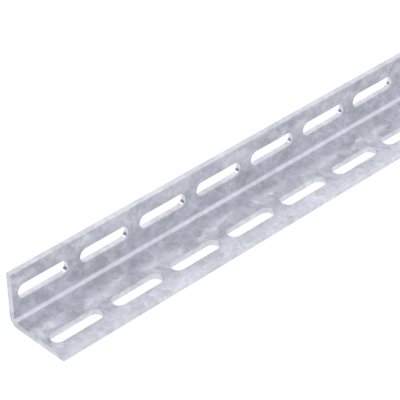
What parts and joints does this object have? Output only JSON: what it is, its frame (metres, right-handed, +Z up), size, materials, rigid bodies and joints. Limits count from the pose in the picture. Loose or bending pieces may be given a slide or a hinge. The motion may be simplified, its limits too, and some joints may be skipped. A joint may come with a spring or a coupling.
{
  "type": "slotted angle bar",
  "caption": "Unequal L-section steel bar with a row of long slots along each leg, for bolting up frames, brackets and supports.",
  "frame": {"origin": "centre of the underside: mid-length, mid-width of the lying leg, on the floor", "axes": "+X along the bar, +Y from the lying leg's free edge to the heel, +Z up along the standing leg"},
  "size_m": [2, 0.05, 0.04],
  "materials": {
    "galvanised_steel": "hot-dip galvanised, satin, with a soft cloudy spangle"
  },
  "bodies": {
    "root": {"slotted_angle_bar": "galvanised_steel"}
  },
  "joints": []
}
